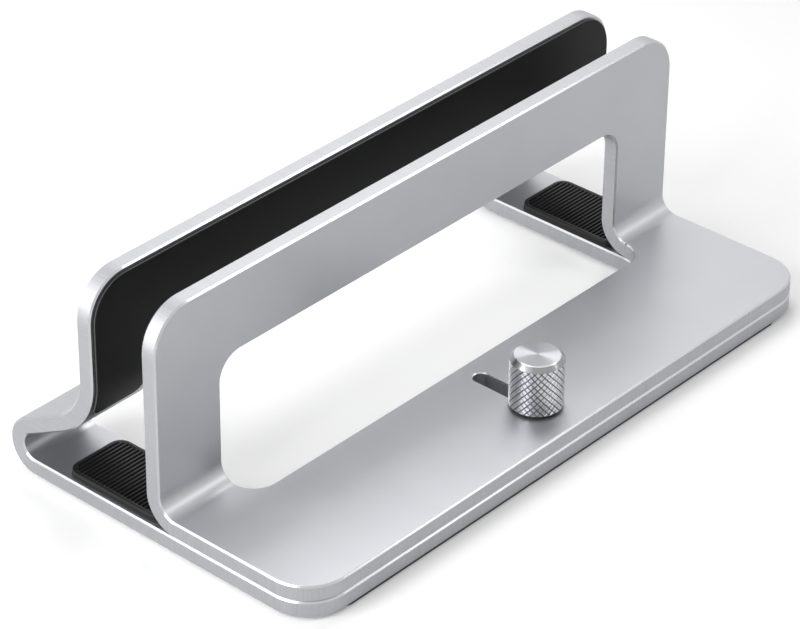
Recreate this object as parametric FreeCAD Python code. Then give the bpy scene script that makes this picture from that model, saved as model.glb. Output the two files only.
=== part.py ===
import FreeCAD, Part
import math
import os

os.makedirs("parts", exist_ok=True)

# Vertical stand for a closed laptop, in millimetres.
# +X points to the front, where the thumb screw is. +Y runs along the slot. +Z is up.
# The stand rests on z = 0, and its box is centred on x = 0 and y = 0.

# Overall sizes
plate_length = 200.0      # both plates, along Y
sheet = 4.7               # thickness of the bent aluminium sheet
base_depth = 104.15       # front edge to the outside of the tight fold
wall_height = 66.5        # top of both walls above the underside of the base
foot_height = 0.8         # feet under the base
edge_break = 0.45         # small chamfer round both faces of each sheet
seat_gap = 0.05           # sliding gap between the two plates

# Base plate: flat base, tight fold at the back, sloping leg, rear wall
fold_radius = 3.7         # inside of the tight fold
rear_bend_radius = 16.7   # back side of the bend below the rear wall
rear_bend_height = 37.6   # centre of that bend above the underside of the base
rear_face = 72.93         # front edge to the slot side of the rear wall

# Sliding plate: flange on the base and front wall
front_face = 50.62        # front edge to the front side of the front wall
front_bend_radius = 5.0   # front side of the bend

# Corners and windows of both plates
corner_radius = 12.0      # corners of the walls and of the base
window_side = 22.3        # end of a plate to its window
window_front = 39.5       # front edge to the window
window_height = 44.36     # top of the windows above the underside of the base
window_radius = 7.0       # corners of the windows
rear_window_radius = 6.0  # upper corners of the rear window, clear of the bend

# Adjusting slot and clamp
travel = 18.6             # how far the front wall moves
screw_back = 13.6         # front edge to the screw
stud_radius = 2.0         # thread size 4
slot_play = 0.25          # stud to the sides and the ends of the slot
slot_break = 0.3          # chamfer round the slot
thread_play = 0.05        # stud to the nut
knob_radius = 7.25
knob_height = 15.0
knob_top_radius = 5.9
knob_top_slope = 1.4      # height of the cone round the top
knob_foot_break = 0.35    # chamfer at the foot of the knob
stud_in_knob = 8.5        # length of the stud held in the knob
stud_end_up = 0.5         # end of the stud above the underside of the base
stud_end_break = 0.4
washer_thick = 0.6
washer_radius = 6.85
washer_play = 0.1         # washer hole to the stud
nut_radius = 3.2
nut_flange_radius = 4.4
nut_flange = 1.0
nut_top_down = 0.1        # top of the nut below the top of the base

# Guide pins, pressed into the base and running in blind grooves
pin_radius = 1.5
pin_play = 0.05
pin_side = 62.0           # each pin to the middle of the stand
pin_rise = 2.8            # pin above the base
groove_depth = 3.0

# Wall pads: thin silicone sheets that go round the windows
pad_thick = 0.8
pad_margin = 1.0          # edge of the plate to the pad
pad_window_margin = 4.1   # edge of the window to the pad
pad_foot_radius = 3.0     # lower corners
pad_break = 0.25          # chamfer round the slot side
pad_wrap = 28.3           # how far the rear pad follows the bend, in degrees

# Ribbed rest pads on the base, one at each end of the slot
rest_thick = 2.0
rest_back = 85.4          # front edge of the stand to the back of the pad
rest_front = 52.0         # front edge of the stand to the front of the pad
rest_width = 19.4
rest_near_side = 1.1      # near end of the plate to the near pad
rest_far_side = 2.4       # far end of the plate to the far pad
rest_radius = 3.8
rest_break = 0.4          # chamfer round the top
rib_first = 1.65          # back of the pad to the first groove
rib_pitch = 1.29
rib_groove = 0.62
rib_depth = 0.5
rib_count = 24
rib_border = 1.35         # smooth border round the grooves

# Feet: silicone strips under the base
front_foot_depth = 6.0
front_foot_length = 174.0
front_foot_back = 0.55    # front edge to the front strip
rear_foot_depth = 34.0
rear_foot_width = 15.0
rear_foot_back = 60.0     # front edge to the rear strips
rear_foot_side = 3.5      # end of the plate to the rear strips
foot_radius = 2.5

# Positions that follow from the sizes
front_x = base_depth / 2.0
half_length = plate_length / 2.0
base_z = foot_height
base_top = base_z + sheet
slide_z = base_top + seat_gap
slide_top = slide_z + sheet
wall_top = base_z + wall_height
screw_x = front_x - screw_back
slot_radius = stud_radius + slot_play
window_half = half_length - window_side
window_top = base_z + window_height
window_x = front_x - window_front
rear_face_x = front_x - rear_face
front_face_x = front_x - front_face

# Working values
beyond = 5.0              # how far a cutting block runs past the metal
near = 0.01               # two positions closer than this are the same
sharp_turn = 30.0         # faces that meet at more degrees than this have a sharp edge


def vec(x, y, z):
    return FreeCAD.Vector(x, y, z)


def on_circle(centre, radius, degrees):
    """Point (x, z) on a circle in the XZ plane, counted from +X towards +Z."""
    turn = math.radians(degrees)
    return (centre[0] + radius * math.cos(turn), centre[1] + radius * math.sin(turn))


def straight(a, b):
    return Part.makeLine(vec(a[0], 0, a[1]), vec(b[0], 0, b[1]))


def curve(centre, radius, start, end):
    a = on_circle(centre, radius, start)
    m = on_circle(centre, radius, (start + end) / 2.0)
    b = on_circle(centre, radius, end)
    return Part.Arc(vec(a[0], 0, a[1]), vec(m[0], 0, m[1]), vec(b[0], 0, b[1])).toShape()


def profile_solid(edges, low_y, high_y):
    """Solid of a closed outline in the XZ plane, between two values of Y."""
    face = Part.Face(Part.Wire(edges))
    face.translate(vec(0, low_y, 0))
    return face.extrude(vec(0, high_y - low_y, 0))


def runs_along(edge, axis):
    """True for an edge parallel to the axis named x, y or z."""
    box = edge.BoundBox
    spans = {"x": box.XLength, "y": box.YLength, "z": box.ZLength}
    return all(spans[name] < near for name in spans if name != axis) and spans[axis] > near


def rounded_box(low, high, radius, axis, wanted=None):
    """Box whose edges along one axis are round, or those of them that the test picks."""
    block = Part.makeBox(high[0] - low[0], high[1] - low[1], high[2] - low[2], vec(*low))
    edges = [e for e in block.Edges if runs_along(e, axis)]
    if wanted:
        edges = [e for e in edges if wanted(e.BoundBox)]
    return block.makeFillet(radius, edges)


def disc(x, y, radius, z_low, z_high):
    return Part.makeCylinder(radius, z_high - z_low, vec(x, y, z_low), vec(0, 0, 1))


def obround(x_low, x_high, y, radius, z_low, z_high):
    """Slot-shaped block along X. x_low and x_high are the centres of its round ends."""
    block = Part.makeBox(x_high - x_low, 2 * radius, z_high - z_low,
                         vec(x_low, y - radius, z_low))
    for x in (x_low, x_high):
        block = block.fuse(disc(x, y, radius, z_low, z_high))
    return block.removeSplitter()


def turned(outline):
    """Solid of revolution about the screw's axis, from (radius, z) points."""
    points = [vec(screw_x + r, 0, z) for r, z in outline]
    points.append(points[0])
    face = Part.Face(Part.makePolygon(points))
    return face.revolve(vec(screw_x, 0, 0), vec(0, 0, 1), 360)


def is_sharp(shape, edge):
    """True where the two faces beside an edge meet at more than the sharp turn."""
    faces = shape.ancestorsOfType(edge, Part.Face)
    if len(faces) != 2:
        return False
    middle = edge.valueAt((edge.FirstParameter + edge.LastParameter) / 2.0)
    normals = []
    for face in faces:
        u, v = face.Surface.parameter(middle)
        normals.append(face.normalAt(u, v))
    return normals[0].dot(normals[1]) < math.cos(math.radians(sharp_turn))


def sharp_edges(shape, wanted=None):
    edges = [e for e in shape.Edges if is_sharp(shape, e)]
    if wanted:
        edges = [e for e in edges if wanted(e.BoundBox)]
    return edges


def export(shape, node):
    if shape.ShapeType != "Solid" and len(shape.Solids) == 1:
        shape = shape.Solids[0]
    shape.exportStep("parts/" + node + ".step")
    print(node, "solids", len(shape.Solids), "valid", shape.isValid(),
          "cm3", round(shape.Volume / 1000.0, 3))


# Bends of the base plate. The leg runs straight from one bend to the other and touches both,
# so its slope follows from where they are.
fold_outer = fold_radius + sheet
fold_centre = (-front_x + fold_outer, base_z + fold_outer)
rear_bend_outer = rear_bend_radius + sheet
rear_bend = (rear_face_x - rear_bend_outer, base_z + rear_bend_height)
bends_apart = math.dist(fold_centre, rear_bend)
bends_slope = math.atan2(rear_bend[1] - fold_centre[1], rear_bend[0] - fold_centre[0])
leg_slope = math.degrees(bends_slope - math.asin((fold_radius + rear_bend_outer) / bends_apart))
fold_end = 90.0 + leg_slope
bend_start = leg_slope - 90.0

# Bend of the sliding plate
front_bend_outer = front_bend_radius + sheet
front_bend = (front_face_x + front_bend_radius, slide_top + front_bend_radius)
front_inner_x = front_bend[0] - front_bend_outer


def base_plate():
    rear_x = rear_bend[0] + rear_bend_radius
    outline = [
        straight((front_x, base_z), (fold_centre[0], base_z)),
        curve(fold_centre, fold_outer, 270.0, fold_end),
        straight(on_circle(fold_centre, fold_outer, fold_end),
                 on_circle(rear_bend, rear_bend_radius, bend_start)),
        curve(rear_bend, rear_bend_radius, bend_start, 0.0),
        straight((rear_x, rear_bend[1]), (rear_x, wall_top)),
        straight((rear_x, wall_top), (rear_face_x, wall_top)),
        straight((rear_face_x, wall_top), (rear_face_x, rear_bend[1])),
        curve(rear_bend, rear_bend_outer, 0.0, bend_start),
        straight(on_circle(rear_bend, rear_bend_outer, bend_start),
                 on_circle(fold_centre, fold_radius, fold_end)),
        curve(fold_centre, fold_radius, fold_end, 270.0),
        straight((fold_centre[0], base_top), (front_x, base_top)),
        straight((front_x, base_top), (front_x, base_z)),
    ]
    plate = profile_solid(outline, -half_length, half_length)
    plate = round_plate_corners(plate)
    low_x = -front_x - beyond
    through_base = rounded_box((low_x, -window_half, base_z - beyond),
                               (window_x, window_half, rear_bend[1]),
                               window_radius, "z", lambda b: b.XMin > low_x + near)
    through_wall = rounded_box((low_x, -window_half, fold_centre[1]),
                               (rear_face_x + beyond, window_half, window_top),
                               rear_window_radius, "x", lambda b: b.ZMin > window_top - near)
    plate = plate.cut(through_base.fuse(through_wall).removeSplitter()).removeSplitter()
    plate = plate.makeChamfer(edge_break, sharp_edges(plate))
    nut_hole = disc(screw_x, 0, nut_radius, base_z - beyond, base_top + beyond)
    flange_seat = disc(screw_x, 0, nut_flange_radius, base_z - beyond, base_z + nut_flange)
    plate = plate.cut(nut_hole.fuse(flange_seat))
    for y in (-pin_side, pin_side):
        plate = plate.cut(disc(screw_x, y, pin_radius, base_z - beyond, base_top + beyond))
    return plate


def round_plate_corners(plate):
    """Round the two front corners and the two upper corners of a plate."""
    front = [e for e in plate.Edges if runs_along(e, "z") and e.BoundBox.XMin > front_x - near]
    upper = [e for e in plate.Edges if runs_along(e, "x") and e.BoundBox.ZMin > wall_top - near]
    return plate.makeFillet(corner_radius, front + upper)


def sliding_plate():
    outline = [
        straight((front_x, slide_z), (front_bend[0], slide_z)),
        curve(front_bend, front_bend_outer, 270.0, 180.0),
        straight((front_inner_x, front_bend[1]), (front_inner_x, wall_top)),
        straight((front_inner_x, wall_top), (front_face_x, wall_top)),
        straight((front_face_x, wall_top), (front_face_x, front_bend[1])),
        curve(front_bend, front_bend_radius, 180.0, 270.0),
        straight((front_bend[0], slide_top), (front_x, slide_top)),
        straight((front_x, slide_top), (front_x, slide_z)),
    ]
    plate = profile_solid(outline, -half_length, half_length)
    plate = round_plate_corners(plate)
    low_x = front_inner_x - beyond
    through_flange = rounded_box((low_x, -window_half, slide_z - beyond),
                                 (window_x, window_half, front_bend[1]),
                                 window_radius, "z", lambda b: b.XMin > low_x + near)
    through_wall = rounded_box((low_x, -window_half, slide_top),
                               (window_x - window_radius, window_half, window_top),
                               window_radius, "x", lambda b: b.ZMin > window_top - near)
    plate = plate.cut(through_flange.fuse(through_wall).removeSplitter()).removeSplitter()
    plate = plate.makeChamfer(edge_break, sharp_edges(plate))
    plate = cut_adjusting_slot(plate)
    for y in (-pin_side, pin_side):
        groove = obround(screw_x - travel, screw_x, y, pin_radius + pin_play,
                         slide_z - beyond, slide_z + groove_depth)
        plate = plate.cut(groove)
    return plate


def cut_adjusting_slot(plate):
    """Cut the slot of the clamp through the flange and chamfer its rims."""
    low_x = screw_x - travel
    plate = plate.cut(obround(low_x, screw_x, 0, slot_radius, slide_z - beyond, slide_top + beyond))

    def on_rim(box):
        return (box.ZLength < near and box.XMin > low_x - slot_radius - near
                and box.XMax < screw_x + slot_radius + near
                and box.YMin > -slot_radius - near and box.YMax < slot_radius + near)

    return plate.makeChamfer(slot_break, sharp_edges(plate, on_rim))


def cut_pad_outline(layer):
    """Cut a wall pad out of a layer of silicone: an upside-down U round the window."""
    box = layer.BoundBox
    side = half_length - pad_margin
    inner_side = window_half + pad_window_margin
    inner_top = window_top + pad_window_margin
    low_z = box.ZMin - corner_radius
    keep = rounded_box((box.XMin - beyond, -side, low_z), (box.XMax + beyond, side, box.ZMax),
                       corner_radius - pad_margin, "x", lambda b: b.ZMin > box.ZMax - near)
    hole = rounded_box((box.XMin - beyond, -inner_side, low_z),
                       (box.XMax + beyond, inner_side, inner_top),
                       window_radius + pad_window_margin, "x",
                       lambda b: b.ZMin > inner_top - near)
    return layer.common(keep).cut(hole).removeSplitter()


def round_pad_feet(pad):
    """Round the four lower corners of a wall pad."""
    low_z = pad.BoundBox.ZMin
    edges = []
    for edge in sharp_edges(pad):
        box = edge.BoundBox
        across = box.YLength < near and edge.Length < pad_thick + near
        if across and box.ZMin < low_z + pad_foot_radius:
            edges.append(edge)
    return pad.makeFillet(pad_foot_radius, edges)


def rear_wall_pad():
    outer = rear_bend_outer + pad_thick
    outer_x = rear_face_x + pad_thick
    top = wall_top - pad_margin
    outline = [
        straight((rear_face_x, top), (rear_face_x, rear_bend[1])),
        curve(rear_bend, rear_bend_outer, 0.0, -pad_wrap),
        straight(on_circle(rear_bend, rear_bend_outer, -pad_wrap),
                 on_circle(rear_bend, outer, -pad_wrap)),
        curve(rear_bend, outer, -pad_wrap, 0.0),
        straight((outer_x, rear_bend[1]), (outer_x, top)),
        straight((outer_x, top), (rear_face_x, top)),
    ]
    pad = profile_solid(outline, -half_length, half_length)
    pad = round_pad_feet(cut_pad_outline(pad))

    def on_slot_side(edge):
        for vertex in edge.Vertexes:
            reach = math.hypot(vertex.X - rear_bend[0], vertex.Z - rear_bend[1])
            if vertex.Z > rear_bend[1]:
                reach = vertex.X - rear_bend[0]
            if abs(reach - outer) > near:
                return False
        return True

    return pad.makeChamfer(pad_break, [e for e in sharp_edges(pad) if on_slot_side(e)])


def front_wall_pad():
    """The same pad on the front wall, flat and down to the same height."""
    bottom = on_circle(rear_bend, rear_bend_outer, -pad_wrap)[1]
    outer_x = front_inner_x - pad_thick
    layer = Part.makeBox(pad_thick, plate_length, wall_top - pad_margin - bottom,
                         vec(outer_x, -half_length, bottom))
    pad = round_pad_feet(cut_pad_outline(layer))
    return pad.makeChamfer(pad_break, sharp_edges(pad, lambda b: b.XMax < outer_x + near))


def rest_pad(low_y):
    low = (front_x - rest_back, low_y, base_top)
    high = (front_x - rest_front, low_y + rest_width, base_top + rest_thick)
    pad = rounded_box(low, high, rest_radius, "z")
    pad = pad.makeChamfer(rest_break, sharp_edges(pad, lambda b: b.ZMin > high[2] - near))
    ribbed = rounded_box((low[0] + rib_border, low[1] + rib_border, high[2] - rib_depth),
                         (high[0] - rib_border, high[1] - rib_border, high[2] + beyond),
                         rest_radius - rib_border, "z")
    grooves = []
    for step in range(rib_count):
        x = low[0] + rib_first + step * rib_pitch
        bar = Part.makeBox(rib_groove, rest_width, rib_depth + beyond,
                           vec(x - rib_groove / 2.0, low[1], high[2] - rib_depth))
        grooves.append(bar.common(ribbed))
    return pad.cut(Part.makeCompound(grooves))


def foot(x_low, y_low, depth, width):
    return rounded_box((x_low, y_low, 0.0), (x_low + depth, y_low + width, foot_height),
                       foot_radius, "z")


def thumb_knob():
    foot_z = slide_top + washer_thick
    top_z = foot_z + knob_height
    return turned([
        (stud_radius, foot_z),
        (knob_radius - knob_foot_break, foot_z),
        (knob_radius, foot_z + knob_foot_break),
        (knob_radius, top_z - knob_top_slope),
        (knob_top_radius, top_z),
        (0, top_z),
        (0, foot_z + stud_in_knob),
        (stud_radius, foot_z + stud_in_knob),
    ])


def clamp_stud():
    low_z = base_z + stud_end_up
    high_z = slide_top + washer_thick + stud_in_knob
    return turned([
        (0, low_z),
        (stud_radius - stud_end_break, low_z),
        (stud_radius, low_z + stud_end_break),
        (stud_radius, high_z),
        (0, high_z),
    ])


def clamp_washer():
    hole = stud_radius + washer_play
    top = slide_top + washer_thick
    return turned([(hole, slide_top), (washer_radius, slide_top),
                   (washer_radius, top), (hole, top)])


def clinch_nut():
    hole = stud_radius + thread_play
    top = base_top - nut_top_down
    return turned([
        (hole, base_z),
        (nut_flange_radius, base_z),
        (nut_flange_radius, base_z + nut_flange),
        (nut_radius, base_z + nut_flange),
        (nut_radius, top),
        (hole, top),
    ])


def guide_pin(y):
    return disc(screw_x, y, pin_radius, base_z, base_top + pin_rise)


rear_foot_x = front_x - rear_foot_back - rear_foot_depth

export(base_plate(), "base_plate")
export(sliding_plate(), "sliding_plate")
export(rear_wall_pad(), "rear_wall_pad")
export(front_wall_pad(), "front_wall_pad")
export(rest_pad(-half_length + rest_near_side), "near_rest_pad")
export(rest_pad(half_length - rest_far_side - rest_width), "far_rest_pad")
export(foot(front_x - front_foot_back - front_foot_depth, -front_foot_length / 2.0,
            front_foot_depth, front_foot_length), "front_foot")
export(foot(rear_foot_x, -half_length + rear_foot_side,
            rear_foot_depth, rear_foot_width), "near_rear_foot")
export(foot(rear_foot_x, half_length - rear_foot_side - rear_foot_width,
            rear_foot_depth, rear_foot_width), "far_rear_foot")
export(thumb_knob(), "thumb_knob")
export(clamp_stud(), "clamp_stud")
export(clamp_washer(), "clamp_washer")
export(clinch_nut(), "clinch_nut")
export(guide_pin(-pin_side), "near_guide_pin")
export(guide_pin(pin_side), "far_guide_pin")
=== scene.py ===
# %% [markdown]
# # A vertical laptop stand, dressed for its portrait
# The stand is two plates of bent aluminium. The lower one is the base and the rear wall,
# the upper one slides on it and is the front wall. A knurled thumb screw clamps them.
# This script takes the finished metal shapes as they are, gives every surface its finish,
# rebuilds the few small parts whose fine detail matters, and sets up the studio.

import math

import bmesh
import bpy
from mathutils import Matrix, Vector


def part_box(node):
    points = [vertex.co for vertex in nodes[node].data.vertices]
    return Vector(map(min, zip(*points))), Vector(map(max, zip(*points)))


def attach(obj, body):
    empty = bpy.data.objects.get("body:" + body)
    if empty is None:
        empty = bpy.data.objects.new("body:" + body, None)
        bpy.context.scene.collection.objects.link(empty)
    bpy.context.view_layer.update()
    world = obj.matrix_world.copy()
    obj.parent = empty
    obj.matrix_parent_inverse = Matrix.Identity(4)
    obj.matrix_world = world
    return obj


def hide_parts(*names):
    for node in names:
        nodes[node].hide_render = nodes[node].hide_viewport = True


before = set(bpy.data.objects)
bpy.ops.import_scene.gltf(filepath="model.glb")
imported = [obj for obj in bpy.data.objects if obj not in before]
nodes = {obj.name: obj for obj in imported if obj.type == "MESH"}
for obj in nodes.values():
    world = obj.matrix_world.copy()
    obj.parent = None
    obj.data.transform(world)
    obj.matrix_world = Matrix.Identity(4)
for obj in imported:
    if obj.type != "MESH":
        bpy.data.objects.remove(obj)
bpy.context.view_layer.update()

# %% [markdown]
# ## The camera
# Blender measures in metres, and small parts are easier to read in millimetres, so sizes
# below are written in millimetres and multiplied by MM.
# The camera stands in front of the near right corner and looks down at the stand. The place,
# the long lens and the slight roll come from fitting the stand's own edges to the picture.

# %% Place the camera
MM = 0.001
CAMERA_PLACE = Vector((511.78, -589.38, 520.29)) * MM
CAMERA_AZIMUTH = math.radians(41.443)
CAMERA_ELEVATION = math.radians(32.602)
CAMERA_ROLL = math.radians(0.563)
CAMERA_LENS = 158.83
SENSOR_WIDTH = 36
NEAREST_SEEN = 0.01
FARTHEST_SEEN = 20


def camera_turn(azimuth, elevation, roll):
    """Rotation whose columns are the camera's right, its up and the way back from its view."""
    back = Vector((math.sin(azimuth) * math.cos(elevation),
                   -math.cos(azimuth) * math.cos(elevation),
                   math.sin(elevation)))
    right = Vector((math.cos(azimuth), math.sin(azimuth), 0))
    up = back.cross(right)
    tilted_right = right * math.cos(roll) + up * math.sin(roll)
    tilted_up = up * math.cos(roll) - right * math.sin(roll)
    return Matrix((tilted_right, tilted_up, back)).transposed()


def place_camera():
    data = bpy.data.cameras.new("portrait_camera")
    data.lens = CAMERA_LENS
    data.sensor_width = SENSOR_WIDTH
    data.clip_start = NEAREST_SEEN
    data.clip_end = FARTHEST_SEEN
    camera = bpy.data.objects.new("portrait_camera", data)
    turn = camera_turn(CAMERA_AZIMUTH, CAMERA_ELEVATION, CAMERA_ROLL)
    camera.matrix_world = Matrix.Translation(CAMERA_PLACE) @ turn.to_4x4()
    bpy.context.collection.objects.link(camera)
    bpy.context.scene.camera = camera
    return camera


camera = place_camera()
print("camera is", round(camera.location.length, 3), "m from the middle of the footprint")

# %% [markdown]
# ## Shader maths as plain sums
# A procedural finish is mostly arithmetic: a bit of noise here, a mask there. A Signal wraps
# one output of a node, so that 1 - mask or noise * 0.1 adds the Math nodes by itself.
# A Finish is one material, and each of its nodes comes from the same method.

# %% Signals and finishes
class Signal:
    """A node's output that can be used in sums."""

    def __init__(self, finish, socket):
        self.finish = finish
        self.socket = socket

    def math(self, operation, *others):
        values = dict(enumerate([self, *others]))
        return self.finish.node("ShaderNodeMath", {"operation": operation}, values)

    def __add__(self, other):
        return self.math("ADD", other)

    def __sub__(self, other):
        return self.math("SUBTRACT", other)

    def __mul__(self, other):
        return self.math("MULTIPLY", other)

    def __rsub__(self, other):
        return self.finish.node("ShaderNodeMath", {"operation": "SUBTRACT"}, {0: other, 1: self})

    def __abs__(self):
        return self.math("ABSOLUTE")

    __radd__ = __add__
    __rmul__ = __mul__

    def ramp(self, low, high):
        """0 up to low, 1 from high on, and straight in between."""
        return self.finish.node("ShaderNodeMapRange", {"clamp": True},
                                {"Value": self, "From Min": low, "From Max": high})


class Finish:
    """One material, built node by node."""

    def __init__(self, name):
        self.material = bpy.data.materials.new(name)
        self.material.use_nodes = True
        self.tree = self.material.node_tree
        self.tree.nodes.clear()

    def node(self, kind, settings=None, sockets=None, output=0):
        made = self.tree.nodes.new(kind)
        for name, value in (settings or {}).items():
            setattr(made, name, value)
        for key, value in (sockets or {}).items():
            if isinstance(value, Signal):
                self.tree.links.new(value.socket, made.inputs[key])
            else:
                made.inputs[key].default_value = value
        if not made.outputs:
            return made
        return Signal(self, made.outputs[output])

    def place(self):
        """Where a point is on the piece, in metres."""
        return self.node("ShaderNodeTexCoord", output="Object")

    def millimetres(self):
        """The three coordinates of the same place, in millimetres."""
        scaled = self.node("ShaderNodeVectorMath", {"operation": "MULTIPLY"},
                           {0: self.place(), 1: (1 / MM, 1 / MM, 1 / MM)})
        return [self.node("ShaderNodeSeparateXYZ", None, {0: scaled}, output=axis)
                for axis in range(3)]

    def noise(self, size, detail=2.0, stretch=(1, 1, 1)):
        """Noise from 0 to 1 whose blotches are about size metres across."""
        scaled = self.node("ShaderNodeVectorMath", {"operation": "MULTIPLY"},
                           {0: self.place(), 1: [s / size for s in stretch]})
        return self.node("ShaderNodeTexNoise", None,
                         {"Vector": scaled, "Scale": 1.0, "Detail": detail})

    def mix(self, share, first, second):
        """Blend of two colours."""
        sockets = {0: share, 6: first, 7: second}
        return self.node("ShaderNodeMix", {"data_type": "RGBA"}, sockets, output=2)

    def bump(self, height, depth, strength=0.5):
        """Normal of a surface whose relief is depth metres for a height of 1."""
        return self.node("ShaderNodeBump", None,
                         {"Height": height, "Distance": depth, "Strength": strength})

    def done(self, **sockets):
        """Finish the material with a Principled shader."""
        values = {name.replace("_", " "): value for name, value in sockets.items()}
        shader = self.node("ShaderNodeBsdfPrincipled", None, values)
        self.node("ShaderNodeOutputMaterial", None, {"Surface": shader})
        return self.material


def wear(piece, material):
    """Give a piece its one material."""
    piece.data.materials.clear()
    piece.data.materials.append(material)


# %% [markdown]
# ## Satin aluminium with bright cut edges
# The plates are blasted with fine beads and anodised clear. Close up that is a very fine,
# even grain, and from further off a silver that blurs what it reflects. The rims are sanded
# across the sheet, which leaves fine streaks. Afterwards a cutter runs round every edge and
# leaves a narrow chamfer that is brighter and sharper in its gloss.
# To tell the chamfers from the faces, the shader works out how deep a point lies in the
# thickness of the sheet. It is 0 on the broad faces, grows over a chamfer and is largest on
# the rim. One sum does it for a flat, its bend and the next flat: the distance from the
# bend's axis, with the part along each flat left out. The shader's sums are in millimetres,
# so lengths that go into them carry no MM.

# %% Describe the bends of the plates
SHEET = 4.7
CHAMFER = 0.45
RIM_SOFTNESS = 0.03
CUT_START = (0.06, 0.11)
WALL_START = (13.0, 15.0)
FRONT_BEND = (6.455, 15.25)
FRONT_BEND_MIDDLE = 7.35
FOLD = (-43.675, 9.2)
FOLD_MIDDLE = 6.05
REAR_BEND = (-42.255, 38.4)
REAR_BEND_MIDDLE = 19.05
LEG_SLOPE = math.radians(28.0)
BASE_TOP = 5.6


def length(first, second):
    return (first * first + second * second).math("SQRT")


def choose(mask, yes, no):
    """yes where the mask is 1 and no where it is 0."""
    return no + mask * (yes - no)


def reach_round_front_bend(x, z):
    """Distance from the axis of the front bend, or from a line through it along a flat."""
    left = (FRONT_BEND[0] - x).math("MAXIMUM", 0.0)
    below = (FRONT_BEND[1] - z).math("MAXIMUM", 0.0)
    return length(left, below)


def reach_round_rear_bend(x, z):
    """The same for the bend between the leg and the rear wall."""
    return length(x - REAR_BEND[0], (z - REAR_BEND[1]).math("MINIMUM", 0.0))


def depth_in_sliding_plate(x, z):
    """How deep a point lies in the sheet, from 0 on a face to half the thickness."""
    return SHEET / 2 - abs(reach_round_front_bend(x, z) - FRONT_BEND_MIDDLE)


def depth_in_base_plate(x, z):
    """The same for the base, the tight fold, the leg and the rear wall."""
    cosine, sine = math.cos(LEG_SLOPE), math.sin(LEG_SLOPE)
    fold_x, fold_z = x - FOLD[0], z - FOLD[1]
    rear_x, rear_z = x - REAR_BEND[0], z - REAR_BEND[1]
    from_fold = length(fold_x.math("MINIMUM", 0.0), fold_z) - FOLD_MIDDLE
    from_leg = fold_z * cosine - fold_x * sine - FOLD_MIDDLE
    from_rear = reach_round_rear_bend(x, z) - REAR_BEND_MIDDLE
    past_fold = (fold_x * cosine + fold_z * sine).math("GREATER_THAN", 0.0)
    on_leg = past_fold * z.math("GREATER_THAN", BASE_TOP)
    past_leg = (rear_x * cosine + rear_z * sine).math("GREATER_THAN", 0.0)
    upper = choose(past_leg, from_rear, from_leg)
    return SHEET / 2 - abs(choose(on_leg, upper, from_fold))


# %% Make the metal of the plates
SATIN_COLOUR = (0.475, 0.479, 0.499, 1)
SATIN_DARKER = (0.435, 0.439, 0.459, 1)
CUT_COLOUR = (0.53, 0.534, 0.548, 1)
RIM_COLOUR = (0.44, 0.444, 0.462, 1)
RIM_DARKER = (0.38, 0.384, 0.402, 1)
SATIN_ROUGHNESS = 0.43
RIM_ROUGHNESS = 0.46
CUT_ROUGHNESS = 0.19
GRAIN_SHARE = 0.10
CLOUD_SHARE = 0.04
STREAK_SHARE = 0.08
STREAK_TONES = (0.3, 0.7)
STREAK_HEIGHT = 0.5
GRAIN_SIZE = 0.22 * MM
STREAK_SIZE = 0.25 * MM
STREAK_STRETCH = 0.02
CLOUD_SIZE = 14 * MM
GRAIN_RELIEF = 0.006 * MM


def plate_metal(name, depth_of):
    finish = Finish(name)
    x, _, z = finish.millimetres()
    depth = depth_of(x, z)
    off_face = depth.ramp(*CUT_START)
    rim = depth.ramp(CHAMFER - RIM_SOFTNESS, CHAMFER + RIM_SOFTNESS)
    cut = off_face * (1 - rim)
    upright = z.ramp(*WALL_START)
    level_streaks = finish.noise(STREAK_SIZE, stretch=(STREAK_STRETCH, 1, 1))
    upright_streaks = finish.noise(STREAK_SIZE, stretch=(1, 1, STREAK_STRETCH))
    streaks = choose(upright, level_streaks, upright_streaks)
    grain = finish.noise(GRAIN_SIZE, detail=1.0)
    cloud = finish.noise(CLOUD_SIZE, detail=3.0)
    satin = finish.mix(cloud, SATIN_DARKER, SATIN_COLOUR)
    sanded = finish.mix(streaks.ramp(*STREAK_TONES), RIM_DARKER, RIM_COLOUR)
    gloss = SATIN_ROUGHNESS + (grain - 0.5) * GRAIN_SHARE + (cloud - 0.5) * CLOUD_SHARE
    rim_gloss = RIM_ROUGHNESS + (streaks - 0.5) * STREAK_SHARE
    relief = choose(rim, streaks * STREAK_HEIGHT, grain)
    return finish.done(
        Base_Color=finish.mix(cut, finish.mix(rim, satin, sanded), CUT_COLOUR),
        Metallic=1.0,
        Roughness=choose(cut, CUT_ROUGHNESS, choose(rim, rim_gloss, gloss)),
        Normal=finish.bump(relief * (1 - cut), GRAIN_RELIEF),
    )


wear(nodes["base_plate"], plate_metal("satin_base", depth_in_base_plate))
wear(nodes["sliding_plate"], plate_metal("satin_slide", depth_in_sliding_plate))
print("satin aluminium with cut edges on both plates")

# %% [markdown]
# ## Black silicone
# The wall pads are cut from smooth sheet and the rest pads and feet are moulded. Both are
# nearly black and matt, and the moulded ones shine a little more. A fine pebble in the relief
# keeps the broad faces from looking like ink.

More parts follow.
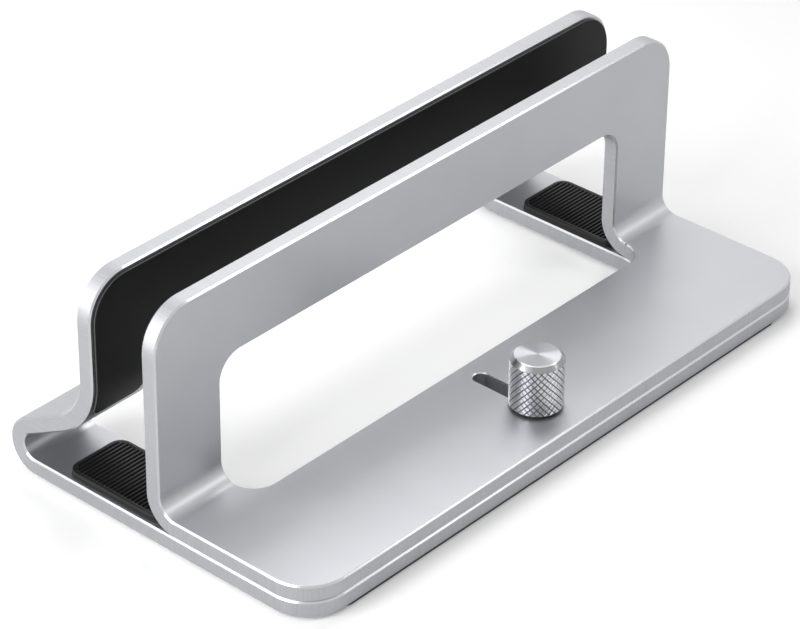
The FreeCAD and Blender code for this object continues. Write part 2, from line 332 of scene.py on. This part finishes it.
# %% Make the silicone
SILICONE_COLOUR = (0.007, 0.007, 0.0075, 1)
SILICONE_DUSTY = (0.013, 0.013, 0.014, 1)
# A lighter grey, painted along the edge of the wall pads as a highlight.
PAINTED_EDGE_HIGHLIGHT = (0.10, 0.10, 0.105, 1)
REAR_PAD_REACH = 22.2
FRONT_PAD_REACH = 10.5
PAD_EDGE_START = (0.08, 0.12)
PAD_EDGE_END = (0.24, 0.27)
MOULDED_ROUGHNESS = 0.36
MOULDED_SHINE = 0.26
SHEET_ROUGHNESS = 0.5
SHEET_EDGE_ROUGHNESS = 0.3
SHEET_SHINE = 0.18
PEBBLE_SHARE = 0.16
PEBBLE_SIZE = 0.35 * MM
PEBBLE_RELIEF = 0.01 * MM
DUST_SIZE = 6 * MM


def moulded_silicone():
    finish = Finish("moulded_silicone")
    pebble = finish.noise(PEBBLE_SIZE)
    dust = finish.noise(DUST_SIZE, detail=4.0)
    return finish.done(
        Base_Color=finish.mix(dust, SILICONE_COLOUR, SILICONE_DUSTY),
        Roughness=MOULDED_ROUGHNESS + (pebble - 0.5) * PEBBLE_SHARE,
        Specular_IOR_Level=MOULDED_SHINE,
        Normal=finish.bump(pebble, PEBBLE_RELIEF),
    )


def sheet_silicone():
    """Sheet that the die leaves polished along its edge, where a lighter grey is painted on as a
    highlight.
    """
    finish = Finish("sheet_silicone")
    x, _, z = finish.millimetres()
    under_rear_face = abs(REAR_PAD_REACH - reach_round_rear_bend(x, z))
    under_front_face = abs(FRONT_PAD_REACH - reach_round_front_bend(x, z))
    below_face = under_rear_face.math("MINIMUM", under_front_face)
    # A thin band along the edge of the pad's face is polished and painted lighter grey: a painted
    # highlight.
    edge = below_face.ramp(*PAD_EDGE_START) * (1 - below_face.ramp(*PAD_EDGE_END))
    pebble = finish.noise(PEBBLE_SIZE)
    dust = finish.noise(DUST_SIZE, detail=4.0)
    matt = finish.mix(dust, SILICONE_COLOUR, SILICONE_DUSTY)
    matt_gloss = SHEET_ROUGHNESS + (pebble - 0.5) * PEBBLE_SHARE
    return finish.done(
        Base_Color=finish.mix(edge, matt, PAINTED_EDGE_HIGHLIGHT),
        Roughness=choose(edge, SHEET_EDGE_ROUGHNESS, matt_gloss),
        Specular_IOR_Level=SHEET_SHINE,
        Normal=finish.bump(pebble * (1 - edge), PEBBLE_RELIEF),
    )


moulded_black = moulded_silicone()
sheet_black = sheet_silicone()
for name in ("rear_wall_pad", "front_wall_pad"):
    wear(nodes[name], sheet_black)
for name in ("front_foot", "near_rear_foot", "far_rear_foot"):
    wear(nodes[name], moulded_black)
print("silicone on the wall pads and feet")

# %% [markdown]
# ## The rest pads
# The laptop stands on two moulded pads with ribs across the slot. A mould leaves no sharp
# edge, and the thin lines of light along the ribs are all that tells them apart, so the pads
# are rebuilt here with every edge rounded. A pad is a low layer, a tray on it whose rim is
# the border, and a row of ribs standing in the tray.

# %% Tools for new pieces
LEVEL_WITHIN = 0.001 * MM
UPRIGHT_FROM = 0.01 * MM


def new_piece(name, bm, body):
    """Turn a bmesh into a named piece that rides on a body of the stand."""
    mesh = bpy.data.meshes.new(name)
    bm.to_mesh(mesh)
    bm.free()
    piece = bpy.data.objects.new(name, mesh)
    bpy.context.collection.objects.link(piece)
    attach(piece, body)
    return piece


def smooth_up_to(bm, degrees):
    """Smooth shading, but for edges where the surface turns by more than this."""
    limit = math.radians(degrees)
    for face in bm.faces:
        face.smooth = True
    for edge in bm.edges:
        edge.smooth = len(edge.link_faces) == 2 and edge.calc_face_angle(0) < limit


def rounded_slab(low, high, corner, steps=8):
    """Block between two corner points, with its four upright edges rounded."""
    bm = bmesh.new()
    middle = (low + high) / 2
    shape = Matrix.Diagonal((*(high - low), 1))
    bmesh.ops.create_cube(bm, size=1.0, matrix=Matrix.Translation(middle) @ shape)
    upright = [edge for edge in bm.edges
               if abs(edge.verts[0].co.z - edge.verts[1].co.z) > UPRIGHT_FROM]
    bmesh.ops.bevel(bm, geom=upright, offset=corner, offset_type="OFFSET", segments=steps,
                    profile=0.5, affect="EDGES", material=-1)
    return bm


def round_edges(bm, edges, radius, steps=3):
    bmesh.ops.bevel(bm, geom=edges, offset=radius, offset_type="OFFSET", segments=steps,
                    profile=0.5, affect="EDGES", clamp_overlap=True, material=-1)


def edges_at(bm, height):
    """Edges that lie level at a height."""
    return [edge for edge in bm.edges
            if all(abs(vert.co.z - height) < LEVEL_WITHIN for vert in edge.verts)]


def add_to(bm, other):
    """Put another bmesh into this one and drop the other."""
    mesh = bpy.data.meshes.new("part")
    other.to_mesh(mesh)
    other.free()
    bm.from_mesh(mesh)
    bpy.data.meshes.remove(mesh)


# %% Mould the rest pads
PAD_CORNER = 3.8 * MM
PAD_LAYER = 0.85 * MM
PAD_STEP = 0.16 * MM
PAD_BORDER = 1.35 * MM
PAD_ROUNDING = 0.25 * MM
LAYER_ROUNDING = 0.12 * MM
PAD_SMOOTH_DEGREES = 40
SHARP_FROM = 0.5
TRAY_SUNK = 0.3 * MM
RIB_SUNK = 0.1 * MM
FIRST_GROOVE = 1.65 * MM
GROOVE_DEPTH = 0.5 * MM
GROOVE_WIDTH = 0.62 * MM
RIB_PITCH = 1.29 * MM
RIB_COUNT = 23
RIB_ROUNDING = 0.24 * MM


def pad_tray(low, high):
    """The upper layer: a slab with rounded edges and a sunk floor inside its border."""
    bm = rounded_slab(low, high, PAD_CORNER - PAD_STEP)
    top = max(bm.faces, key=lambda face: face.calc_center_median().z)
    border = PAD_BORDER - PAD_STEP
    bmesh.ops.inset_individual(bm, faces=[top], thickness=border, use_even_offset=True)
    sunk = bmesh.ops.extrude_discrete_faces(bm, faces=[top])["faces"]
    bmesh.ops.translate(bm, vec=(0, 0, -GROOVE_DEPTH), verts=sunk[0].verts)
    sharp = [edge for edge in edges_at(bm, high.z) if edge.calc_face_angle(0) > SHARP_FROM]
    round_edges(bm, sharp, PAD_ROUNDING)
    return bm


def pad_rib(x, low, high):
    """One rib across the tray, with a rounded back."""
    end = PAD_BORDER - RIB_SUNK
    size = Vector((RIB_PITCH - GROOVE_WIDTH, high.y - low.y - 2 * end, GROOVE_DEPTH + RIB_SUNK))
    middle = Vector((x, (low.y + high.y) / 2, high.z - size.z / 2))
    bm = bmesh.new()
    place = Matrix.Translation(middle) @ Matrix.Diagonal((*size, 1))
    bmesh.ops.create_cube(bm, size=1.0, matrix=place)
    round_edges(bm, edges_at(bm, high.z), RIB_ROUNDING)
    return bm


def moulded_rest_pad(name, solid):
    low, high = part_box(solid)
    step = Vector((PAD_STEP, PAD_STEP, 0))
    layer_top = Vector((high.x, high.y, low.z + PAD_LAYER))
    bm = rounded_slab(low, layer_top, PAD_CORNER)
    round_edges(bm, edges_at(bm, layer_top.z), LAYER_ROUNDING, steps=2)
    add_to(bm, pad_tray(low + step + Vector((0, 0, TRAY_SUNK)), high - step))
    first = low.x + FIRST_GROOVE + RIB_PITCH / 2
    for number in range(RIB_COUNT):
        add_to(bm, pad_rib(first + number * RIB_PITCH, low, high))
    smooth_up_to(bm, PAD_SMOOTH_DEGREES)
    pad = new_piece(name, bm, "base")
    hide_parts(solid)
    wear(pad, moulded_black)
    return pad


for side in ("near", "far"):
    pad = moulded_rest_pad(side + "_ribbed_pad", side + "_rest_pad")
    print(pad.name, "has", len(pad.data.polygons), "faces")

# %% [markdown]
# ## Small hardware
# The clinch nut, the stud and the guide pins are zinc-plated steel: smoother than the plates,
# a little bluer and cloudier. The washer under the knob is dull black nylon.

# %% Make the steel and the nylon
ZINC_COLOUR = (0.56, 0.57, 0.58, 1)
ZINC_DULLER = (0.42, 0.43, 0.45, 1)
NYLON_COLOUR = (0.012, 0.012, 0.012, 1)
NYLON_GREYER = (0.020, 0.020, 0.020, 1)
ZINC_ROUGHNESS = 0.26
ZINC_CLOUD_SHARE = 0.14
NYLON_ROUGHNESS = 0.50
NYLON_CLOUD_SHARE = 0.12
NYLON_SHINE = 0.2
ZINC_CLOUD = 1.2 * MM
ZINC_RELIEF = 0.01 * MM
NYLON_CLOUD = 0.8 * MM


def zinc_steel():
    finish = Finish("zinc_steel")
    cloud = finish.noise(ZINC_CLOUD, detail=3.0)
    return finish.done(
        Base_Color=finish.mix(cloud, ZINC_DULLER, ZINC_COLOUR),
        Metallic=1.0,
        Roughness=ZINC_ROUGHNESS + cloud * ZINC_CLOUD_SHARE,
        Normal=finish.bump(cloud, ZINC_RELIEF, strength=0.4),
    )


def black_nylon():
    finish = Finish("black_nylon")
    cloud = finish.noise(NYLON_CLOUD)
    return finish.done(
        Base_Color=finish.mix(cloud, NYLON_COLOUR, NYLON_GREYER),
        Roughness=NYLON_ROUGHNESS + cloud * NYLON_CLOUD_SHARE,
        Specular_IOR_Level=NYLON_SHINE,
    )


steel = zinc_steel()
for name in ("clamp_stud", "clinch_nut", "near_guide_pin", "far_guide_pin"):
    wear(nodes[name], steel)
wear(nodes["clamp_washer"], black_nylon())
print("steel on the hardware, nylon on the washer")

# %% [markdown]
# ## The thumb screw's knob
# The knob is turned from bar: a small chamfer at the foot, a smooth cone round the top and a
# face that still shows the lathe's rings. Between them the side is knurled, which presses two
# sets of crossing grooves into it and leaves rows of diamonds.
# The turned body is a profile spun about the axis. Its side lies at the bottom of the grooves.

# %% Measure the knob
knob_low, knob_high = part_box("thumb_knob")
KNOB_X = (knob_low.x + knob_high.x) / 2
KNOB_Y = (knob_low.y + knob_high.y) / 2
KNOB_RADIUS = (knob_high.x - knob_low.x) / 2
KNOB_FACE_RADIUS = 5.9 * MM
KNOB_CONE = 1.4 * MM
KNOB_FOOT_BREAK = 0.35 * MM
KNOB_FACE_BREAK = 0.2 * MM
KNURL_DEPTH = 0.30 * MM
KNURL_RUNOUT = 0.05 * MM
KNOB_SMOOTH_DEGREES = 30
TURN_STEPS = 128
WELD = 0.0001 * MM
knob_axis = Matrix.Translation((KNOB_X, KNOB_Y, 0))
print("knob radius", round(KNOB_RADIUS / MM, 2), "mm, foot at", round(knob_low.z / MM, 2))


# %% Turn the body of the knob
def spin_profile(points):
    """Closed turned shape about the Z axis, from points (radius, height) that run axis to axis."""
    bm = bmesh.new()
    verts = [bm.verts.new((r, 0, z)) for r, z in points]
    edges = [bm.edges.new(pair) for pair in zip(verts, verts[1:])]
    bmesh.ops.spin(bm, geom=verts + edges, cent=(0, 0, 0), axis=(0, 0, 1), dvec=(0, 0, 0),
                   angle=2 * math.pi, steps=TURN_STEPS, use_merge=True)
    bmesh.ops.remove_doubles(bm, verts=bm.verts, dist=WELD)
    bmesh.ops.dissolve_degenerate(bm, dist=WELD, edges=bm.edges)
    bmesh.ops.recalc_face_normals(bm, faces=bm.faces)
    return bm


def turned_knob():
    root = KNOB_RADIUS - KNURL_DEPTH
    foot, top = knob_low.z, knob_high.z
    cone_foot = top - KNOB_CONE
    bm = spin_profile([
        (0, foot),
        (KNOB_RADIUS - KNOB_FOOT_BREAK, foot),
        (KNOB_RADIUS, foot + KNOB_FOOT_BREAK),
        (root, foot + KNOB_FOOT_BREAK + KNURL_RUNOUT),
        (root, cone_foot - KNURL_RUNOUT),
        (KNOB_RADIUS, cone_foot),
        (KNOB_FACE_RADIUS + KNOB_FACE_BREAK, top - KNOB_FACE_BREAK),
        (KNOB_FACE_RADIUS, top),
        (0, top),
    ])
    bm.transform(knob_axis)
    smooth_up_to(bm, KNOB_SMOOTH_DEGREES)
    return new_piece("knob_body", bm, "thumb_screw")


knob_body = turned_knob()
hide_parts("thumb_knob")
print("knob body has", len(knob_body.data.polygons), "faces")

# %% [markdown]
# The knurl is made flat first. Each diamond starts as a circle of four corners, inset and
# raised so that sloping groove walls surround a flat crest. One upright column of them is cut
# off at the two ends of the band, rolled onto the cylinder and copied round the axis.

# %% Knurl the side
KNURL_STARTS = 26
KNURL_RISE = 1.96 * MM
KNURL_GROOVE = 0.15 * MM
DIAMOND_WELD = 0.001 * MM


def flat_diamonds(pitch, low, high):
    """One column of raised diamonds in the XZ plane, facing -Y."""
    bm = bmesh.new()
    rows = math.ceil((high - low) / KNURL_RISE) + 1
    for row in range(rows):
        for shift in (0.0, 0.5):
            place = Matrix.Translation((shift * pitch, 0, low + (row + shift) * KNURL_RISE))
            shape = Matrix.Diagonal((pitch / 2, 1, KNURL_RISE / 2, 1))
            upright = Matrix.Rotation(math.pi / 2, 4, "X")
            bmesh.ops.create_circle(bm, cap_ends=True, segments=4, radius=1.0,
                                    matrix=place @ shape @ upright)
    bmesh.ops.remove_doubles(bm, verts=bm.verts, dist=DIAMOND_WELD)
    bmesh.ops.inset_individual(bm, faces=bm.faces, thickness=KNURL_GROOVE, depth=KNURL_DEPTH,
                               use_even_offset=True)
    return bm


def cut_level(bm, height, upward):
    """Cut a bmesh level at a height and drop what is beyond."""
    everything = bm.verts[:] + bm.edges[:] + bm.faces[:]
    bmesh.ops.bisect_plane(bm, geom=everything, dist=0, plane_co=(0, 0, height),
                           plane_no=(0, 0, 1 if upward else -1), clear_outer=True)


def knurled_side():
    low = knob_low.z + KNOB_FOOT_BREAK
    high = knob_high.z - KNOB_CONE
    root = KNOB_RADIUS - KNURL_DEPTH
    pitch = 2 * math.pi * KNOB_RADIUS / KNURL_STARTS
    bm = flat_diamonds(pitch, low, high)
    cut_level(bm, high, True)
    cut_level(bm, low, False)
    for vert in bm.verts:
        angle = vert.co.x / KNOB_RADIUS
        reach = root - vert.co.y
        vert.co = (reach * math.cos(angle), reach * math.sin(angle), vert.co.z)
    turn = 2 * math.pi * (KNURL_STARTS - 1) / KNURL_STARTS
    everything = bm.verts[:] + bm.edges[:] + bm.faces[:]
    bmesh.ops.spin(bm, geom=everything, cent=(0, 0, 0), axis=(0, 0, 1), dvec=(0, 0, 0),
                   angle=turn, steps=KNURL_STARTS - 1, use_duplicate=True)
    bmesh.ops.remove_doubles(bm, verts=bm.verts, dist=DIAMOND_WELD)
    bm.transform(knob_axis)
    return new_piece("knob_knurl", bm, "thumb_screw")


knob_knurl = knurled_side()
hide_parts("thumb_knob")
print("knurl has", len(knob_knurl.data.polygons), "faces")

# %% [markdown]
# The lathe leaves rings on the face and the cone, far too fine for the picture to show. They
# stretch each reflection across themselves, which gives the bright spokes on the face, so the
# shader is anisotropic, and faint rings in the relief break the spokes up.

# %% Finish the knob
FACE_COLOUR = (0.48, 0.484, 0.507, 1)
FACE_DARKER = (0.35, 0.354, 0.373, 1)
CONE_COLOUR = (0.30, 0.302, 0.31, 1)
# Near white for a highlight painted on the narrow break round the face.
FACE_EDGE_HIGHLIGHT = (0.78, 0.782, 0.79, 1)
CREST_COLOUR = (0.50, 0.504, 0.524, 1)
# Near black for the shade painted into the knurl's grooves.
GROOVE_PAINTED_SHADE = (0.05, 0.05, 0.053, 1)
RINGS_PER_MM = 8.0
RING_RELIEF = 0.004 * MM
FACE_ROUGHNESS = 0.31
RING_SHARE = 0.1
CONE_ROUGHNESS = 0.16
TURNED_STRETCH = 0.9
KNURL_ROUGHNESS = 0.40
CREST_POLISH = 0.14
KNURL_CLOUD_SHARE = 0.1
EDGE_SOFTNESS = 0.02
CREST_DEPTH = 0.05
KNURL_CLOUD = 0.5 * MM


def from_knob_axis(finish):
    """How far a point lies from the axis of the knob, in millimetres."""
    x, y, _ = finish.millimetres()
    return length(x - KNOB_X / MM, y - KNOB_Y / MM)


def turned_aluminium():
    finish = Finish("turned_aluminium")
    radius = from_knob_axis(finish)
    face_edge = KNOB_FACE_RADIUS / MM
    cone_edge = (KNOB_FACE_RADIUS + KNOB_FACE_BREAK) / MM
    past_face = radius.ramp(face_edge - EDGE_SOFTNESS, face_edge + EDGE_SOFTNESS)
    cone = radius.ramp(cone_edge - EDGE_SOFTNESS, cone_edge + EDGE_SOFTNESS)
    # The break between the face and the cone is painted near white: a painted highlight ring.
    painted_highlight_ring = past_face * (1 - cone)
    rings = finish.node("ShaderNodeTexNoise", {"noise_dimensions": "1D"},
                        {"W": radius * RINGS_PER_MM, "Scale": 1.0, "Detail": 2.0})
    face = finish.mix(rings, FACE_DARKER, FACE_COLOUR)
    turned = finish.mix(cone, face, CONE_COLOUR)
    face_gloss = FACE_ROUGHNESS + (rings - 0.5) * RING_SHARE
    return finish.done(
        Base_Color=finish.mix(painted_highlight_ring, turned, FACE_EDGE_HIGHLIGHT),
        Metallic=1.0,
        Roughness=choose(past_face, CONE_ROUGHNESS, face_gloss),
        Anisotropic=TURNED_STRETCH,
        Normal=finish.bump(rings, RING_RELIEF),
    )


def knurled_aluminium():
    finish = Finish("knurled_aluminium")
    radius = from_knob_axis(finish)
    crest = radius.ramp((KNOB_RADIUS - KNURL_DEPTH) / MM, KNOB_RADIUS / MM - CREST_DEPTH)
    cloud = finish.noise(KNURL_CLOUD)
    gloss = KNURL_ROUGHNESS - crest * CREST_POLISH + (cloud - 0.5) * KNURL_CLOUD_SHARE
    # The grooves are painted near black, fading up to the crests: painted shade in the hollows
    # between the diamonds.
    return finish.done(
        Base_Color=finish.mix(crest, GROOVE_PAINTED_SHADE, CREST_COLOUR),
        Metallic=1.0,
        Roughness=gloss,
    )


wear(knob_body, turned_aluminium())
wear(knob_knurl, knurled_aluminium())
print("knob finished")

# %% [markdown]
# ## The studio
# The floor is a pale sheet that keeps the stand's shadow. Far from the stand the lamps no
# longer reach it, so it slowly takes on the white of the backdrop. The lift is there for the
# camera and for what the metal reflects, and adds no light to the stand, which is what the
# Light Path node is for.

# %% Build the floor and the sky
FLOOR_SIZE = 6.0
FLOOR_WHITE = (0.94, 0.94, 0.94, 1)
FLOOR_CLOUD = (0.93, 0.93, 0.93, 1)
FLOOR_LIFT = 0.14
FAR_FLOOR_LIFT = 0.75
FAR_FLOOR = (0.32, 0.85)
SKY_LEVEL = 0.24
CLOUD_ON_FLOOR = 0.4


def seen_directly(tree):
    """1 for the camera and for what metal and glass show, and 0 for the light on the object."""
    path = tree.nodes.new("ShaderNodeLightPath")
    shown = path.outputs["Is Camera Ray"]
    for name in ("Is Glossy Ray", "Is Transmission Ray"):
        join = tree.nodes.new("ShaderNodeMath")
        join.operation = "MAXIMUM"
        tree.links.new(shown, join.inputs[0])
        tree.links.new(path.outputs[name], join.inputs[1])
        shown = join.outputs[0]
    return shown


def paint_floor():
    finish = Finish("pale_floor")
    shown = Signal(finish, seen_directly(finish.tree))
    x, y, _ = finish.millimetres()
    far = (length(x, y) * MM).ramp(*FAR_FLOOR)
    cloud = finish.noise(CLOUD_ON_FLOOR, detail=1.0)
    shader = finish.node("ShaderNodeBsdfPrincipled", None, {
        "Base Color": finish.mix(cloud, FLOOR_CLOUD, FLOOR_WHITE),
        "Roughness": 1.0,
        "Specular IOR Level": 0.0,
        "Emission Color": (1, 1, 1, 1),
        "Emission Strength": shown * choose(far, FAR_FLOOR_LIFT, FLOOR_LIFT),
    })
    finish.node("ShaderNodeOutputMaterial", None, {"Surface": shader})
    return finish.material


def lay_floor():
    bm = bmesh.new()
    bmesh.ops.create_grid(bm, x_segments=1, y_segments=1, size=FLOOR_SIZE / 2)
    mesh = bpy.data.meshes.new("floor")
    bm.to_mesh(mesh)
    bm.free()
    mesh.materials.append(paint_floor())
    floor = bpy.data.objects.new("floor", mesh)
    bpy.context.collection.objects.link(floor)


def pale_sky():
    world = bpy.data.worlds.new("studio")
    bpy.context.scene.world = world
    world.use_nodes = True
    tree = world.node_tree
    background = tree.nodes["Background"]
    level = tree.nodes.new("ShaderNodeMapRange")
    level.inputs["To Min"].default_value = SKY_LEVEL
    level.inputs["To Max"].default_value = 1.0
    tree.links.new(seen_directly(tree), level.inputs["Value"])
    tree.links.new(level.outputs[0], background.inputs["Strength"])
    background.inputs["Color"].default_value = (1, 1, 1, 1)


lay_floor()
pale_sky()
print("floor laid, sky up")

# %% [markdown]
# ## The light
# Metal shows what stands round it, so the lamps are placed by what each surface reflects. The
# broad softbox high at the left only fills in. A lower one at the front left does most of the
# work: it brightens the near rims and throws the soft shadow to the back right. Two behind the
# stand show in the flange and in the tops of the walls, and a small one at the back right draws
# the bright line along the bend of the front wall.

# %% Hang the softboxes
LAMPS_AIM = Vector((0, 0, 0.03))


def softbox(name, place, size, power):
    """Square area lamp in metres and watts, aimed at the middle of the stand."""
    data = bpy.data.lights.new(name, "AREA")
    data.shape = "SQUARE"
    data.size = size
    data.energy = power
    lamp = bpy.data.objects.new(name, data)
    lamp.location = place
    towards = LAMPS_AIM - lamp.location
    lamp.rotation_euler = towards.to_track_quat("-Z", "Y").to_euler()
    lamp.visible_camera = False
    bpy.context.collection.objects.link(lamp)


softbox("left_softbox", place=(-0.50, -0.60, 0.95), size=1.3, power=3.3)
softbox("front_softbox", place=(-0.12, -0.77, 0.37), size=0.70, power=7.0)
softbox("near_back_softbox", place=(-0.09, 0.12, 0.40), size=0.16, power=0.52)
softbox("far_back_softbox", place=(-0.55, 0.60, 0.62), size=0.45, power=0.56)
softbox("right_softbox", place=(0.31, 0.32, 0.38), size=0.15, power=0.38)
bpy.context.scene.view_settings.view_transform = "Standard"
print("studio lit")
